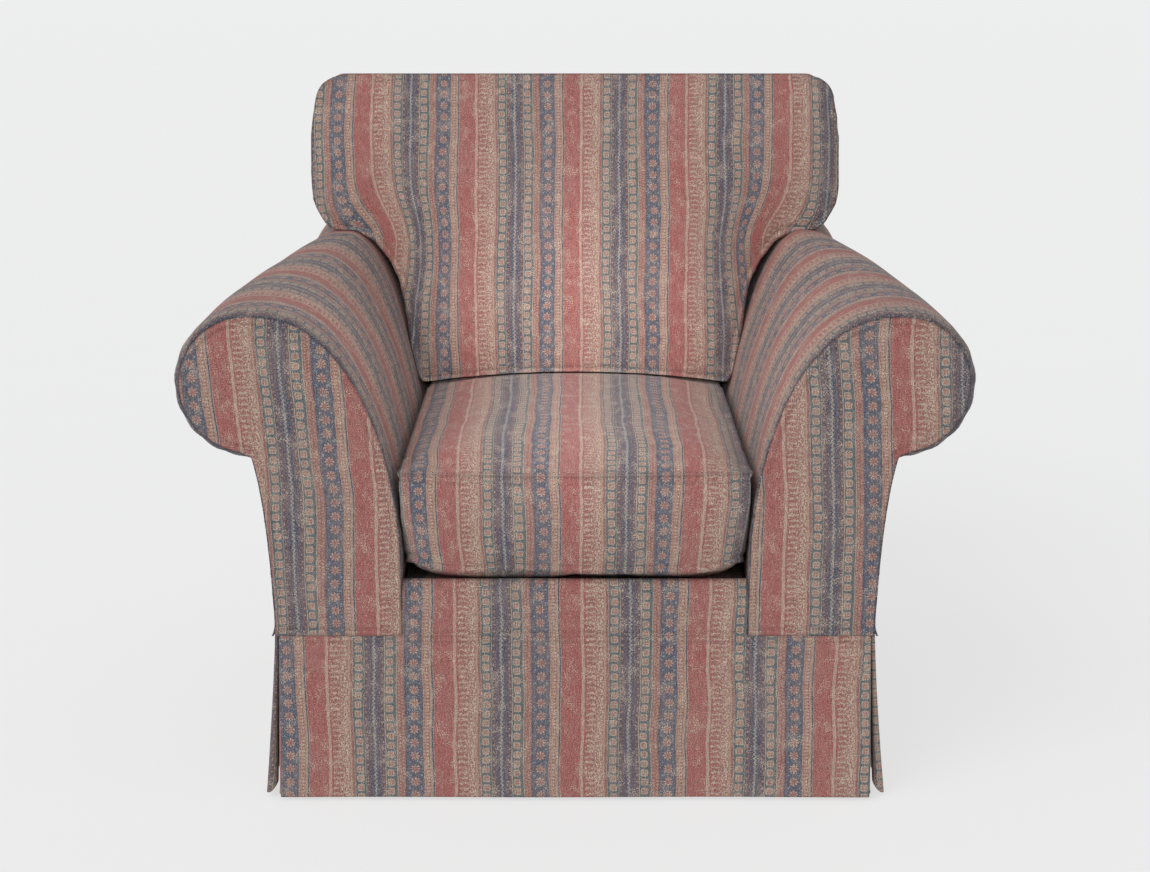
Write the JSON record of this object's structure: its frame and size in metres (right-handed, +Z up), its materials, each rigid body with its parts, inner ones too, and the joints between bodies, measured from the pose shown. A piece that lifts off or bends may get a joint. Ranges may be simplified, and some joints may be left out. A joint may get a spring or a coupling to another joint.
{
  "type": "skirted roll-arm armchair",
  "caption": "Plump armchair with scroll arms, a loose T-shaped back cushion and box seat cushion, in a striped loose cover with a floor-length skirt.",
  "frame": {"origin": "on the floor, at the middle of the chair's width and depth", "axes": "+X to the right as seen by someone facing the chair, +Y towards the chair's back, +Z up"},
  "size_m": [1.0116, 0.888, 0.905],
  "materials": {
    "printed_cotton": "matt woven cotton with faded printed stripes in brick red, slate blue and cream",
    "frame_wood": "sawn and sanded beech",
    "plywood": "unfinished plywood",
    "stained_wood": "dark stained, satin",
    "spring_steel": "oiled spring wire",
    "foam": "upholstery foam under polyester wadding",
    "webbing": "woven elastic webbing",
    "black_cloth": "thin black bottoming cloth",
    "nylon": "moulded glide, slightly glossy"
  },
  "bodies": {
    "root": {"back_cushion": "printed_cotton", "back_gusset": "printed_cotton", "back_lower_rail": "frame_wood", "back_padding": "foam", "back_seat_rail": "frame_wood", "back_strap_1": "webbing", "back_strap_2": "webbing", "back_strap_3": "webbing", "back_top_rail": "frame_wood", "deck_cloth": "printed_cotton", "deck_pad": "foam", "dust_cover": "black_cloth", "front_border": "printed_cotton", "front_edge_roll": "foam", "front_rail": "frame_wood", "inside_back_cover": "printed_cotton", "left_arm_cover": "printed_cotton", "left_arm_front_board": "plywood", "left_arm_front_panel": "printed_cotton", "left_arm_lower_rail": "frame_wood", "left_arm_padding": "foam", "left_arm_top_rail": "frame_wood", "left_back_post": "frame_wood", "left_front_corner_block": "frame_wood", "left_front_glide": "nylon", "left_front_leg": "stained_wood", "left_front_pleat_underlay": "printed_cotton", "left_rear_corner_block": "frame_wood", "left_rear_glide": "nylon", "left_rear_leg": "stained_wood", "left_rear_pleat_underlay": "printed_cotton", "left_side_rail": "frame_wood", "outside_back": "printed_cotton", "right_arm_cover": "printed_cotton", "right_arm_front_board": "plywood", "right_arm_front_panel": "printed_cotton", "right_arm_lower_rail": "frame_wood", "right_arm_padding": "foam", "right_arm_top_rail": "frame_wood", "right_back_post": "frame_wood", "right_front_corner_block": "frame_wood", "right_front_glide": "nylon", "right_front_leg": "stained_wood", "right_front_pleat_underlay": "printed_cotton", "right_rear_corner_block": "frame_wood", "right_rear_glide": "nylon", "right_rear_leg": "stained_wood", "right_rear_pleat_underlay": "printed_cotton", "right_side_rail": "frame_wood", "seat_cushion": "printed_cotton", "seat_spring_1": "spring_steel", "seat_spring_2": "spring_steel", "seat_spring_3": "spring_steel", "seat_spring_4": "spring_steel", "skirt_back": "printed_cotton", "skirt_front": "printed_cotton", "skirt_left": "printed_cotton", "skirt_right": "printed_cotton", "spring_rail": "frame_wood"}
  },
  "joints": []
}
